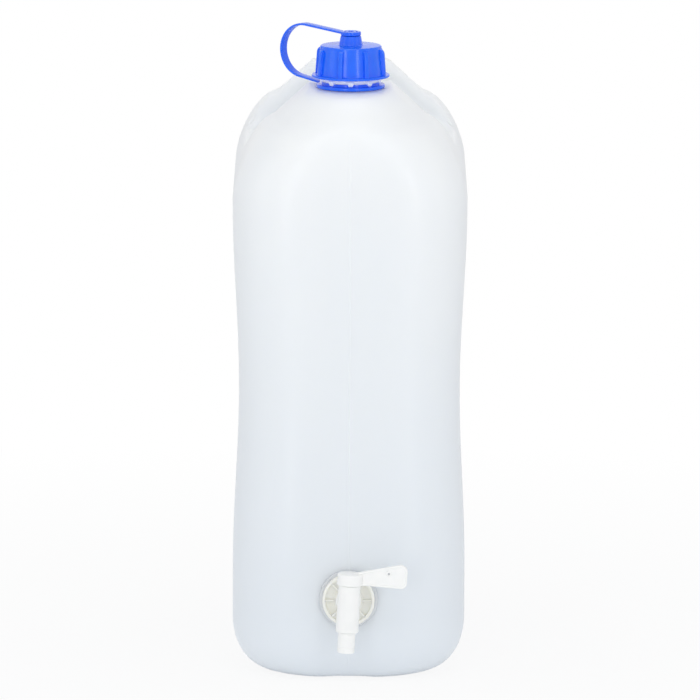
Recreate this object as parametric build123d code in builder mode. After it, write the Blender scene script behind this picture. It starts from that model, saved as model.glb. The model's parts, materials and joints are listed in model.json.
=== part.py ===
"""Carboy with spigot: a 20 litre blow-moulded canister with a tethered screw cap and a lever tap.

Millimetres. +Z is up, the narrow front with the tap faces -Y, and the origin is on the floor
at the middle of the overall box. "Behind the front" means along +Y from the front face.
"""
from build123d import *
from math import asin, atan2, cos, degrees, hypot, pi, radians, sin, tan
import os

os.makedirs("parts", exist_ok=True)

# ---------------------------------------------------------------- canister
body_depth = 310.0  # front face to back face
foot_half_width = 86.4  # half the width just above the rounded foot
chest_half_width = 87.1  # half the width just below the shoulder
waist_depth = 4.6  # how far each side draws in at the waist
waist_depth_front = 3.7  # the same on the front and the back
waist_low = 80.0  # level where the waist begins
waist_high = 354.0  # level where the waist ends
wall = 2.2  # moulded wall
corner_radius = 48.0  # upright corners, in plan
least_flat = 2.0  # width left flat between two corners where they come close

foot_run = 30.0  # rounding under the body, inwards
foot_rise = 43.0  # rounding under the body, upwards
foot_curve = 1.95  # fullness of that rounding: 1 is a straight chamfer, 2 an ellipse
arch_half_width = 30.0  # shallow arch under the base, between the two foot strips
arch_rise = 1.9

shoulder_level = 359.0  # the shoulder starts here
shoulder_run = 29.8  # side shoulder, inwards
shoulder_rise = 54.7  # shoulder, upwards, to the foot of the gabled roof
shoulder_curve = 1.5  # fullness of the shoulder
back_run = 42.0  # back shoulder, inwards
front_run = 40.0  # front slope up to the neck, inwards
front_rise = 64.0
front_curve = 2.0  # fullness of the front slope
roof_slope = 42.8  # degrees from the horizontal
pad_level = 438.7  # flat top of the roof, where the neck stands

# ---------------------------------------------------------------- carrying handle
gap_front = 105.0  # finger gap, behind the front
gap_length = 104.0
gap_floor = 388.0
gap_ceiling = 419.0
gap_radius = 15.0
gap_draft = 5.0  # each end leans this much over the height of the gap
handle_top = 445.0
handle_half_width = 18.5
handle_round = 9.0
handle_ramp = 24.0  # length of the rise behind the neck
handle_tail = 237.0  # end of the handle's ridge, behind the front
handle_bury = 1.2  # its two ends lie this far under the roof's top
saddle_clear = 30.0  # the saddle is cut this far above the handle

# ---------------------------------------------------------------- neck
neck_back = 63.0  # neck axis behind the front face
neck_radius = 20.3
neck_bore_radius = 17.6
neck_top = 466.8
neck_edge = 0.8  # chamfer of the mouth
bead_radius = 21.0
bead_height = 2.4
bead_edge = 0.6
lug_count = 8
lug_radius = 22.8
lug_top_width = 5.6
lug_tip_width = 3.6
lug_drop = 1.7  # the lugs hang this far below the bead
lug_root = 1.0  # their depth in the neck
lug_step = 0.4  # their upper face below the bead's

# ---------------------------------------------------------------- cap, seal and tether
ring_gap = 0.3  # tether ring above the roof, and around the neck
ring_radius = 25.4
ring_thickness = 2.5
ring_edge = 0.6
lug_gap = 0.4  # lugs above the ring
flange_gap = 1.1  # cap flange above the bead
flange_radius = 28.9
flange_thickness = 1.7
flange_edge = 0.4
cap_height = 23.4
cap_foot_radius = 25.0  # skirt, at the flange
cap_top_radius = 22.7  # skirt, at the top
cap_bore_gap = 1.2  # bore around the neck, with room for the thread
cap_plate = 2.2
cap_round = 1.1  # edge of the cap's top
rib_count = 8
rib_first_angle = 252.4  # degrees from +X
rib_width = 3.5
rib_foot_radius = 27.3
rib_top_radius = 26.0
rib_drop = 2.7  # rib tops below the cap's top
rib_slant_height = 1.8  # slanted end of each rib
rib_slant_depth = 1.6
rib_rise = 0.7  # the slant's rise from there to the skirt
rib_round = 0.9
rib_root = 1.0  # depth of the ribs in the skirt
boss_height = 7.0
boss_foot_radius = 8.7
boss_top_radius = 7.5
seal_gap = 0.2  # above and below the seal
seal_edge_gap = 0.3
eyelet_radius = 7.5
eyelet_hole_radius = 4.1
eyelet_thickness = 2.9
eyelet_gap = 0.3  # eyelet above the boss, and around the snap pin
eyelet_round = 0.5
snap_lip = 0.8  # lip of the snap pin, in the eyelet's counterbore
snap_depth = 1.3  # depth of that counterbore
pin_hole_radius = 2.1
pin_drop = 0.1  # snap pin's top below the eyelet's
strap_angle = 145.0  # direction of the strap's loop, degrees from +X
strap_width = 7.5
strap_thickness = 1.5
loop_radius = 19.6
loop_reach = 61.2  # neck axis to the far side of the loop
loop_level = 463.4  # centre of the loop

# ---------------------------------------------------------------- tap
tap_level = 64.5  # stem axis
tap_lean = 3.0  # degrees; the tube's foot leans towards -X
tube_standoff = 28.0  # front face to the tube's axis
tube_above = 15.8  # tube above the stem axis
tube_below = 19.3
tube_top_radius = 8.1
tube_foot_radius = 8.4
tube_edge = 0.5
plug_radius = 6.4
running_gap = 0.08
plug_bore_radius = 4.2
port_seat_radius = 21.5
port_seat_rise = 0.8
port_seat_taper = 25.0  # degrees
port_radius = 12.5
port_boss_radius = 16.5
port_depth = 17.0
gasket_radius = 18.6
gasket_thickness = 1.5
collar_radius = 19.4
collar_thickness = 4.6
collar_round = 0.8
collar_rim = 2.3
collar_hub_radius = 10.6
collar_recess = 1.7
collar_rib_count = 8
collar_rib_width = 1.4
shank_gap = 0.3  # bushing shank in the canister's port
shank_length = 15.0
stem_radius = 7.1
stem_bore_radius = 4.2
stem_gap = 0.1
stem_shoulder_radius = 9.4
stem_shoulder_thickness = 2.2
hub_radius = 9.3
hub_height = 8.8
hub_edge = 1.2
hub_gap = 0.3  # hub above the tube, snap bead below it
snap_bead_radius = 6.95
snap_bead_height = 1.1
nozzle_length = 15.6
nozzle_edge = 0.6
band_height = 3.6  # end band of the nozzle
band_groove = 0.25
o_ring_section = 1.05
o_ring_offset = 10.5  # o-rings above and below the stem axis
o_ring_play = 0.12  # room beside an o-ring in its groove
lever_reach = 42.2
lever_root_height = 10.1
lever_end_height = 18.8
lever_end_run = 38.4  # where the lever is deepest, from the axis
lever_foot = 0.7  # lever's lower edge above the tube's top, at the root
lever_droop = 1.4  # its fall towards the end
lever_web = 2.2
lever_rim = 3.4  # thickness of the raised rim
lever_rim_width = 1.7
lever_corner = 4.6
lever_round = 2.4

# ---------------------------------------------------------------- places worked out from the sizes
tap_projection = tube_standoff + hub_radius
front_y = tap_projection - (body_depth + tap_projection) / 2
neck_y = front_y + neck_back
roof_level = shoulder_level + shoulder_rise
tube_y = front_y - tube_standoff
ring_bottom = pad_level + ring_gap
ring_top = ring_bottom + ring_thickness
ring_bore_radius = neck_radius + ring_gap
bead_bottom = ring_top + lug_gap + lug_drop
bead_top = bead_bottom + bead_height
cap_bottom = bead_top + flange_gap
cap_top = cap_bottom + cap_height
cap_bore_radius = neck_radius + cap_bore_gap
boss_top = cap_top + boss_height
eyelet_bottom = boss_top + eyelet_gap
eyelet_top = eyelet_bottom + eyelet_thickness
seal_bottom = neck_top + seal_gap
seal_top = cap_top - cap_plate - seal_gap
seat_y = front_y - port_seat_rise
collar_back_y = seat_y - gasket_thickness
collar_front_y = collar_back_y - collar_thickness
shank_radius = port_radius - shank_gap
tube_bore_radius = plug_radius + running_gap

neck_axis = Axis((0, neck_y, 0), (0, 0, 1))
neck_plane = Plane(origin=(0, neck_y, 0), x_dir=(1, 0, 0), z_dir=(0, -1, 0))
front_plane = Plane(origin=(0, front_y, 0), x_dir=(1, 0, 0), z_dir=(0, -1, 0))
tap_plane = Plane(
    origin=(0, tube_y, tap_level),
    x_dir=(cos(radians(tap_lean)), 0, -sin(radians(tap_lean))),
    z_dir=(sin(radians(tap_lean)), 0, cos(radians(tap_lean))),
)
tap_axis = Axis(tap_plane.origin, tap_plane.z_dir)
# upright plane through the tap's axis, seen from the front: x along the lever, y up the tube
tap_section = Plane(origin=tap_plane.origin, x_dir=tap_plane.x_dir, z_dir=(0, -1, 0))


# ---------------------------------------------------------------- form of the canister
def corner_inset(run, rise, curve, height):
    """Inward run of a rounded corner, at a height above the level where it starts."""
    share = min(max(height / rise, 0.0), 1.0)
    return run * (1 - (1 - share**curve) ** (1 / curve))


def waist_share(level):
    """0 outside the waist, 1 in its middle, with a smooth start and end."""
    turn = (level - waist_low) / (waist_high - waist_low)
    if turn <= 0 or turn >= 1:
        return 0.0
    return 0.5 - 0.5 * cos(2 * pi * turn)


def foot_inset(level):
    """Inward run of the rounded foot."""
    return corner_inset(foot_run, foot_rise, foot_curve, foot_rise - level)


def roof_inset(run, level):
    """Inward run of a shoulder and of the sloping roof above it."""
    shoulder = corner_inset(run, shoulder_rise, shoulder_curve, level - shoulder_level)
    return shoulder + max(level - roof_level, 0.0) / tan(radians(roof_slope))


def half_width_at(level):
    """Half width of the outside at a level."""
    share = min(max((level - waist_low) / (waist_high - waist_low), 0.0), 1.0)
    plain = foot_half_width + (chest_half_width - foot_half_width) * share
    drawn_in = waist_depth * waist_share(level) + foot_inset(level)
    return plain - drawn_in - roof_inset(shoulder_run, level)


def front_inset_at(level):
    """Distance of the outside behind the front face."""
    slope = corner_inset(front_run, front_rise, front_curve, level - (pad_level - front_rise))
    return waist_depth_front * waist_share(level) + foot_inset(level) + slope


def back_inset_at(level):
    """Distance of the outside ahead of the back face."""
    drawn_in = waist_depth_front * waist_share(level) + foot_inset(level)
    return drawn_in + roof_inset(back_run, level)


def section_levels():
    """Levels of the plan sections: close together where the form turns, further apart elsewhere."""
    foot = [foot_rise * (1 - cos(radians(angle))) for angle in range(0, 90, 9)]
    waist = [waist_low + (waist_high - waist_low) * step / 8 for step in range(9)]
    shoulder = [shoulder_level + shoulder_rise * sin(radians(angle)) for angle in range(0, 90, 10)]
    slope_start = pad_level - front_rise
    roof = [slope_start + front_rise * sin(radians(angle)) for angle in (38, 46, 54, 62, 70, 80, 90)]
    levels = foot + [foot_rise] + waist + shoulder
    return [level for level in levels if level < roof[0] - 1.0] + roof


def gap_outline(inset):
    """Side outline of the finger gap and the open saddle above it: x along +Y, y upwards."""
    low = gap_front + gap_draft + front_y
    high = gap_front + gap_length - gap_draft + front_y
    lean = gap_draft / (handle_top - gap_floor)
    open_level = handle_top + saddle_clear
    spread = lean * (open_level - gap_floor)
    with BuildSketch() as outline:
        Polygon(
            (low, gap_floor),
            (high, gap_floor),
            (high + spread, open_level),
            (low - spread, open_level),
            align=None,
        )
        fillet(outline.vertices().group_by(Axis.Y)[0], radius=gap_radius)
        if inset > 0:
            offset(amount=inset)
    return outline.sketch


def handle_bar(inset):
    """Bar of the handle, lofted through upright sections, with both ends buried in the roof."""
    start = neck_back + ring_radius
    buried_top = pad_level - handle_bury
    half = handle_half_width - inset
    ramp = [step / 5 for step in range(6)]
    rises = [(start + handle_ramp * share, share) for share in ramp]
    falls = [(handle_tail - handle_ramp * share, share) for share in reversed(ramp)]
    with BuildPart() as bar:
        for behind, share in rises + falls:
            top = buried_top + (handle_top - buried_top) * share * share * (3 - 2 * share)
            low = gap_ceiling + inset
            high = top - inset
            with BuildSketch(Plane.XZ.offset(-(front_y + behind))):
                with Locations((0, (low + high) / 2)):
                    RectangleRounded(2 * half, high - low, handle_round - inset)
        loft(ruled=True)
    return bar.part


def canister_form(inset):
    """Closed form of the canister, drawn in all over by the inset."""
    squeeze = (pad_level - 2 * inset) / pad_level
    with BuildPart() as form:
        for level in section_levels():
            half = half_width_at(level) - inset
            low = front_y + front_inset_at(level) + inset
            high = front_y + body_depth - back_inset_at(level) - inset
            radius = min(corner_radius - inset, half - least_flat / 2)
            with BuildSketch(Plane((0, (low + high) / 2, inset + level * squeeze))):
                RectangleRounded(2 * half, high - low, radius)
        loft(ruled=True)
        # the saddle that opens the roof on both sides of the handle
        with BuildSketch(Plane.YZ):
            add(gap_outline(inset))
        extrude(amount=2 * chest_half_width, both=True, mode=Mode.SUBTRACT)
        add(handle_bar(inset))
        # shallow arch under the base
        arch_radius = (arch_half_width**2 + arch_rise**2) / (2 * arch_rise)
        with BuildSketch(Plane.XZ):
            with Locations((0, arch_rise - arch_radius)):
                Circle(arch_radius + inset)
        extrude(amount=body_depth, both=True, mode=Mode.SUBTRACT)
    return form.part


# ---------------------------------------------------------------- canister
with BuildPart() as lug:
    lug_start = neck_radius - lug_root
    with BuildSketch(Plane.XZ.offset(lug_start)):
        Polygon(
            (-lug_tip_width / 2, ring_top + lug_gap),
            (lug_tip_width / 2, ring_top + lug_gap),
            (lug_top_width / 2, bead_bottom + lug_drop / 2),
            (lug_top_width / 2, bead_top - lug_step),
            (-lug_top_width / 2, bead_top - lug_step),
            (-lug_top_width / 2, bead_bottom + lug_drop / 2),
            align=None,
        )
    extrude(amount=lug_radius - lug_start)

with BuildPart() as canister:
    add(canister_form(0.0))
    # neck: plain barrel with the cap's stop bead
    with BuildSketch(neck_plane):
        with BuildLine():
            Polyline(
                (0, pad_level - wall),
                (neck_radius, pad_level - wall),
                (neck_radius, bead_bottom),
                (bead_radius, bead_bottom + bead_edge),
                (bead_radius, bead_top - bead_edge),
                (neck_radius, bead_top),
                (neck_radius, neck_top - neck_edge),
                (neck_radius - neck_edge, neck_top),
                (0, neck_top),
                close=True,
            )
        make_face()
    revolve(axis=neck_axis)
    with Locations((0, neck_y, 0)):
        with PolarLocations(0, lug_count):
            add(lug.part)
    # raised seat of the tap port
    with BuildSketch(front_plane.offset(port_seat_rise)):
        with Locations((0, tap_level)):
            Circle(port_seat_radius)
    extrude(amount=-(port_seat_rise + wall), taper=-port_seat_taper)
    # hollow inside
    add(canister_form(wall), mode=Mode.SUBTRACT)
    with BuildSketch(Plane((0, neck_y, pad_level - 3 * wall))):
        Circle(neck_bore_radius)
    extrude(until=Until.LAST, mode=Mode.SUBTRACT)
    # port: a boss moulded inwards, bored for the tap's bushing
    with BuildSketch(front_plane.offset(-wall / 2)):
        with Locations((0, tap_level)):
            Circle(port_boss_radius)
    extrude(amount=-(port_depth - wall / 2))
    with BuildSketch(front_plane.offset(port_seat_rise)):
        with Locations((0, tap_level)):
            Circle(port_radius)
    extrude(amount=-2 * port_depth, mode=Mode.SUBTRACT)
canister.part.label = "canister"

# ---------------------------------------------------------------- screw cap
with BuildPart() as rib:
    rib_start = cap_top_radius - rib_root
    rib_bottom = cap_bottom + flange_thickness / 2
    rib_top = cap_top - rib_drop
    with BuildSketch(Plane.XZ):
        Polygon(
            (rib_start, rib_bottom),
            (rib_foot_radius, rib_bottom),
            (rib_top_radius, rib_top - rib_slant_height),
            (rib_top_radius - rib_slant_depth, rib_top),
            (rib_start, rib_top + rib_rise),
            align=None,
        )
    extrude(amount=rib_width / 2, both=True)
    outer = rib.faces().filter_by(lambda face: face.normal_at().X > 0.4)
    fillet(outer.edges().filter_by(lambda edge: abs(edge.tangent_at(0.5).Y) < 0.1), radius=rib_round)

pin_radius = eyelet_hole_radius - eyelet_gap
pin_shoulder = eyelet_top - snap_depth
with BuildPart() as screw_cap:
    with BuildSketch(neck_plane):
        with BuildLine():
            Polyline(
                (0, cap_bottom),
                (flange_radius - flange_edge, cap_bottom),
                (flange_radius, cap_bottom + flange_edge),
                (flange_radius, cap_bottom + flange_thickness - flange_edge),
                (flange_radius - flange_edge, cap_bottom + flange_thickness),
                (cap_foot_radius, cap_bottom + flange_thickness),
                (cap_top_radius, cap_top),
                (boss_foot_radius, cap_top),
                (boss_top_radius, boss_top),
                (pin_radius, boss_top),
                (pin_radius, pin_shoulder + eyelet_gap),
                (pin_radius + snap_lip, pin_shoulder + eyelet_gap),
                (pin_radius + snap_lip / 4, eyelet_top - pin_drop),
                (0, eyelet_top - pin_drop),
                close=True,
            )
        make_face()
    revolve(axis=neck_axis)
    fillet(
        screw_cap.edges().filter_by(GeomType.CIRCLE).filter_by(
            lambda edge: abs(edge.radius - cap_top_radius) < 0.01
        ),
        radius=cap_round,
    )
    # grip ribs, with slanted tops
    with Locations((0, neck_y, 0)):
        with PolarLocations(0, rib_count, start_angle=rib_first_angle):
            add(rib.part)
    # bore of the skirt, and the hollow of the snap pin
    with BuildSketch(Plane((0, neck_y, cap_bottom))):
        Circle(cap_bore_radius)
    extrude(amount=cap_height - cap_plate, mode=Mode.SUBTRACT)
    with BuildSketch(Plane((0, neck_y, eyelet_top))):
        Circle(pin_hole_radius)
    extrude(amount=-(eyelet_thickness + boss_height / 2), mode=Mode.SUBTRACT)
screw_cap.part.label = "screw_cap"

with BuildPart() as cap_seal:
    with BuildSketch(Plane((0, neck_y, seal_bottom))):
        Circle(cap_bore_radius - seal_edge_gap)
    extrude(amount=seal_top - seal_bottom)
cap_seal.part.label = "cap_seal"

# ---------------------------------------------------------------- tether
strap_way = (cos(radians(strap_angle)), sin(radians(strap_angle)), 0)
strap_plane = Plane(
    origin=(0, neck_y, 0), x_dir=strap_way, z_dir=(strap_way[1], -strap_way[0], 0)
)
loop_centre = (loop_reach - loop_radius, loop_level)
ring_join = ((ring_bore_radius + ring_radius) / 2, (ring_bottom + ring_top) / 2)
eyelet_join = ((eyelet_hole_radius + eyelet_radius) / 2, (eyelet_bottom + eyelet_top) / 2)


def touch_angle(point, side):
    """Angle on the loop's circle where a line from the point touches it."""
    across = point[0] - loop_centre[0]
    up = point[1] - loop_centre[1]
    spread = 90 - degrees(asin(loop_radius / hypot(across, up)))
    return degrees(atan2(up, across)) + side * spread


def on_loop(angle):
    """Point of the loop's circle at an angle."""
    return (
        loop_centre[0] + loop_radius * cos(radians(angle)),
        loop_centre[1] + loop_radius * sin(radians(angle)),
    )


with BuildPart() as cap_tether:
    # captive ring
    with BuildSketch(neck_plane):
        with BuildLine():
            Polyline(
                (ring_bore_radius, ring_bottom),
                (ring_radius - ring_edge, ring_bottom),
                (ring_radius, ring_bottom + ring_edge),
                (ring_radius, ring_top - ring_edge),
                (ring_radius - ring_edge, ring_top),
                (ring_bore_radius, ring_top),
                close=True,
            )
        make_face()
    revolve(axis=neck_axis)
    # strap: straight from the ring, round the loop and straight to the eyelet
    lower = touch_angle(ring_join, 1)
    upper = touch_angle(eyelet_join, -1)
    with BuildSketch(strap_plane):
        with BuildLine() as route:
            Line(ring_join, on_loop(lower))
            ThreePointArc(on_loop(lower), on_loop(0), on_loop(upper))
            Line(on_loop(upper), eyelet_join)
            offset(amount=strap_thickness / 2, side=Side.BOTH, closed=True)
        make_face()
    extrude(amount=strap_width / 2, both=True)
    with BuildSketch(Plane((0, neck_y, eyelet_bottom))):
        Circle(eyelet_radius)
    extrude(amount=eyelet_thickness)
    fillet(
        cap_tether.edges().filter_by(GeomType.CIRCLE).filter_by(
            lambda edge: abs(edge.radius - eyelet_radius) < 0.01 and edge.center().Z > eyelet_top - 0.1
        ),
        radius=eyelet_round,
    )
    with BuildSketch(Plane((0, neck_y, eyelet_bottom))):
        Circle(eyelet_hole_radius)
    extrude(amount=eyelet_thickness, mode=Mode.SUBTRACT)
    with BuildSketch(Plane((0, neck_y, eyelet_top))):
        Circle(pin_radius + snap_lip + eyelet_gap)
    extrude(amount=-snap_depth, mode=Mode.SUBTRACT)
cap_tether.part.label = "cap_tether"

# ---------------------------------------------------------------- tap bushing and gasket
with BuildPart() as tap_collar:
    with BuildSketch(Plane.XZ.offset(-collar_back_y)):
        with Locations((0, tap_level)):
            Circle(collar_radius)
    extrude(amount=collar_thickness)
    fillet(
        tap_collar.edges().filter_by(GeomType.CIRCLE).sort_by(Axis.Y)[0],
        radius=collar_round,
    )
    # recessed face between the rim and the hub, crossed by radial ribs
    with BuildSketch(Plane.XZ.offset(-collar_front_y)):
        with Locations((0, tap_level)):
            Circle(collar_radius - collar_rim)
            Circle(collar_hub_radius, mode=Mode.SUBTRACT)
            with PolarLocations(0, collar_rib_count):
                Rectangle(
                    collar_radius, collar_rib_width, align=(Align.MIN, Align.CENTER), mode=Mode.SUBTRACT
                )
    extrude(amount=-collar_recess, mode=Mode.SUBTRACT)
    # threaded shank in the canister's port
    with BuildSketch(Plane.XZ.offset(-collar_back_y)):
        with Locations((0, tap_level)):
            Circle(shank_radius)
    extrude(amount=-(gasket_thickness + port_seat_rise + shank_length))
    with BuildSketch(Plane.XZ.offset(-collar_front_y)):
        with Locations((0, tap_level)):
            Circle(stem_radius + stem_gap)
    extrude(
        amount=-(collar_thickness + gasket_thickness + port_seat_rise + shank_length),
        mode=Mode.SUBTRACT,
    )
tap_collar.part.label = "tap_collar"

with BuildPart() as tap_gasket:
    with BuildSketch(Plane.XZ.offset(-seat_y)):
        with Locations((0, tap_level)):
            Circle(gasket_radius)
            Circle(port_radius, mode=Mode.SUBTRACT)
    extrude(amount=gasket_thickness)
tap_gasket.part.label = "tap_gasket"

# ---------------------------------------------------------------- tap body
with BuildPart() as tap_body:
    with BuildSketch(tap_section):
        Polygon(
            (0, -tube_below),
            (tube_foot_radius - tube_edge, -tube_below),
            (tube_foot_radius, -tube_below + tube_edge),
            (tube_top_radius, tube_above - tube_edge),
            (tube_top_radius - tube_edge, tube_above),
            (0, tube_above),
            align=None,
        )
    revolve(axis=tap_axis)
    # stem, with the shoulder that bears on the bushing
    with BuildSketch(Plane.XZ.offset(-tube_y)):
        with Locations((0, tap_level)):
            Circle(stem_radius)
    stem_length = tube_standoff + shank_length
    extrude(amount=-stem_length)
    with BuildSketch(Plane.XZ.offset(-collar_front_y)):
        with Locations((0, tap_level)):
            Circle(stem_shoulder_radius)
    extrude(amount=stem_shoulder_thickness)
    # waterways
    with BuildSketch(tap_plane.offset(-tube_below)):
        Circle(tube_bore_radius)
    extrude(amount=tube_below + tube_above, mode=Mode.SUBTRACT)
    with BuildSketch(Plane.XZ.offset(-tube_y)):
        with Locations((0, tap_level)):
            Circle(stem_bore_radius)
    extrude(amount=-stem_length, mode=Mode.SUBTRACT)
tap_body.part.label = "tap_body"

# ---------------------------------------------------------------- turning plug with lever and nozzle
hub_bottom = tube_above + hub_gap
hub_top = tube_above + hub_height
nozzle_end = -tube_below - nozzle_length
bead_start = -tube_below - hub_gap
groove_radius = plug_radius - o_ring_section
groove_half = o_ring_section / 2 + o_ring_play
with BuildPart() as tap_plug:
    with BuildSketch(tap_section):
        with BuildLine():
            Polyline(
                (0, nozzle_end),
                (plug_radius - nozzle_edge, nozzle_end),
                (plug_radius, nozzle_end + nozzle_edge),
                (plug_radius, nozzle_end + band_height),
                (plug_radius - band_groove, nozzle_end + band_height + band_groove),
                (plug_radius, nozzle_end + band_height + 2 * band_groove),
                (plug_radius, bead_start - snap_bead_height),
                (snap_bead_radius, bead_start - snap_bead_height / 2),
                (snap_bead_radius, bead_start),
                (plug_radius, bead_start),
                (plug_radius, -o_ring_offset - groove_half),
                (groove_radius, -o_ring_offset - groove_half),
                (groove_radius, -o_ring_offset + groove_half),
                (plug_radius, -o_ring_offset + groove_half),
                (plug_radius, o_ring_offset - groove_half),
                (groove_radius, o_ring_offset - groove_half),
                (groove_radius, o_ring_offset + groove_half),
                (plug_radius, o_ring_offset + groove_half),
                (plug_radius, hub_bottom),
                (hub_radius, hub_bottom),
                (hub_radius, hub_top - hub_edge),
                (hub_radius - hub_edge, hub_top),
                (0, hub_top),
                close=True,
            )
        make_face()
    revolve(axis=tap_axis)
    # lever: a thin web inside a raised rim
    lever_bottom = tube_above + lever_foot
    with BuildSketch(tap_section) as lever_outline:
        Polygon(
            (0, lever_bottom),
            (lever_end_run, lever_bottom - lever_droop),
            (lever_reach, lever_bottom - lever_droop + lever_corner),
            (lever_reach, lever_bottom - lever_droop + lever_end_height - lever_corner),
            (lever_end_run, lever_bottom - lever_droop + lever_end_height),
            (hub_radius, lever_bottom + lever_root_height),
            (0, lever_bottom + lever_root_height),
            align=None,
        )
        fillet(lever_outline.vertices().group_by(Axis.X)[-1], radius=lever_round)
        fillet(lever_outline.vertices().sort_by(Axis.X)[-6:-4], radius=lever_round)
    extrude(amount=lever_rim / 2, both=True)
    for side in (1, -1):
        with BuildSketch(tap_section.offset(side * lever_rim / 2)):
            add(lever_outline.sketch_local)
            offset(amount=-lever_rim_width)
            with Locations((0, hub_top)):
                Rectangle(2 * hub_radius + lever_rim_width, 4 * lever_root_height, mode=Mode.SUBTRACT)
        extrude(amount=-side * (lever_rim - lever_web) / 2, mode=Mode.SUBTRACT)
    # waterway up from the nozzle, and its window, turned away from the stem when shut
    with BuildSketch(tap_plane.offset(nozzle_end)):
        Circle(plug_bore_radius)
    extrude(amount=plug_bore_radius - nozzle_end, mode=Mode.SUBTRACT)
    with BuildSketch(Plane(origin=tap_plane.origin, x_dir=(0, 1, 0), z_dir=-tap_plane.x_dir)):
        Circle(stem_bore_radius)
    extrude(amount=2 * plug_radius, mode=Mode.SUBTRACT)
tap_plug.part.label = "tap_plug"


# ---------------------------------------------------------------- o-rings on the plug
def o_ring(height):
    """Ring in the plug's groove, pressed lightly against the tube's bore."""
    ring_middle = plug_radius - o_ring_section / 2 + running_gap / 4
    with BuildPart() as ring:
        with BuildSketch(tap_section):
            with Locations((ring_middle, height)):
                Circle(o_ring_section / 2)
        revolve(axis=tap_axis)
    return ring.part


plug_o_ring_upper = o_ring(o_ring_offset)
plug_o_ring_upper.label = "plug_o_ring_upper"
plug_o_ring_lower = o_ring(-o_ring_offset)
plug_o_ring_lower.label = "plug_o_ring_lower"

# ---------------------------------------------------------------- files
export_step(canister.part, "parts/canister.step")
export_step(screw_cap.part, "parts/screw_cap.step")
export_step(cap_seal.part, "parts/cap_seal.step")
export_step(cap_tether.part, "parts/cap_tether.step")
export_step(tap_collar.part, "parts/tap_collar.step")
export_step(tap_gasket.part, "parts/tap_gasket.step")
export_step(tap_body.part, "parts/tap_body.step")
export_step(tap_plug.part, "parts/tap_plug.step")
export_step(plug_o_ring_upper, "parts/plug_o_ring_upper.step")
export_step(plug_o_ring_lower, "parts/plug_o_ring_lower.step")
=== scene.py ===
"""Looks of a carboy with spigot: a natural polyethylene canister, a tethered cap and a lever tap.

Lengths are in millimetres until a piece becomes a mesh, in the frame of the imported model: +Z up,
the narrow front with the tap towards -Y. "Behind the front" is along +Y from the front face.
"""
import json
from math import acos, cos, pi, radians, sin, tan

import bmesh
import bpy
import numpy as np
from mathutils import Matrix, Vector


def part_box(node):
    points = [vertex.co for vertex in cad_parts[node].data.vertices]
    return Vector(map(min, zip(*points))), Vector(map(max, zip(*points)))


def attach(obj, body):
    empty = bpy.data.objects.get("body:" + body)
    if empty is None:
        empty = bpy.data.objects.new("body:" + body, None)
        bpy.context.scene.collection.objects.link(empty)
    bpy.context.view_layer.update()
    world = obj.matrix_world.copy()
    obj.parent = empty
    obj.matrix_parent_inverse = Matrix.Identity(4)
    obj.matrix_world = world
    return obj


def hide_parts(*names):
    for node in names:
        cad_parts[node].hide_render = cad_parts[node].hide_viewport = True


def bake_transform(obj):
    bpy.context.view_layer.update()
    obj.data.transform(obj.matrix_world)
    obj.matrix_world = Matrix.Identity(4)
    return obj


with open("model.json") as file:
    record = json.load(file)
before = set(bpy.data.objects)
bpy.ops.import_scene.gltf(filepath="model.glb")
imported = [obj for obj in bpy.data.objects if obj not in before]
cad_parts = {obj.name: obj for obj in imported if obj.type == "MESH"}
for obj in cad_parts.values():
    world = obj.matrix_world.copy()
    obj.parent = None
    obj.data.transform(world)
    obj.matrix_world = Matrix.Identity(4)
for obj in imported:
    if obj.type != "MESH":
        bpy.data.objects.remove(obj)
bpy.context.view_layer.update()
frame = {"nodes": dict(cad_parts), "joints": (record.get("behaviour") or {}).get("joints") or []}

METRE = 1000.0  # millimetres in a metre
MERGE, SLIVER = 2e-6, 1e-6  # metres: points merged, and edges dissolved


def node_box(node):
    """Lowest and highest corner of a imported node, in millimetres."""
    low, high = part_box(node)
    return np.array(low) * METRE, np.array(high) * METRE


# ---------------------------------------------------------------- sizes, from the frame
canister_low, canister_high = node_box("canister")
cap_low, cap_high = node_box("screw_cap")
tether_top = node_box("cap_tether")[1][2]
gasket_low, gasket_high = node_box("tap_gasket")

seat_rise = 0.8  # port seat, proud of the front face
front_y = canister_low[1] + seat_rise
body_depth = canister_high[1] - front_y
chest_half_width = canister_high[0]
neck_top = canister_high[2]
neck_y = (cap_low[1] + cap_high[1]) / 2
tap_level = (gasket_low[2] + gasket_high[2]) / 2
tap_joint = next(joint for joint in frame["joints"] if joint["name"] == "tap_turn")
tube_y = tap_joint["pos_m"][1] * METRE
tap_down = np.array(tap_joint["axis"])

# ---------------------------------------------------------------- canister
foot_half_width = chest_half_width - 0.7
waist_depth = 4.6  # draw-in of each side at the waist
waist_depth_front = 3.7  # the same on the front and the back
waist_low = 80.0
waist_high = 354.0
corner_radius = 48.0  # upright corners
foot_run, foot_rise, foot_curve = 30.0, 43.0, 1.95  # rounded foot: inwards, upwards, fullness
arch_half_width, arch_rise = 30.0, 1.9  # shallow arch under the base
shoulder_level, shoulder_rise, shoulder_curve = 359.0, 54.7, 1.5
shoulder_run, back_run = 29.8, 42.0
front_run, front_rise, front_curve = 40.0, 64.0, 2.0  # slope up to the neck
roof_level = shoulder_level + shoulder_rise
roof_slope = 42.8  # degrees
pad_level = 438.7
seam_height, seam_half_width = 0.35, 0.45  # parting line of the mould
seam_stop = 30.0  # the parting line ends this far below the pad

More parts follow.
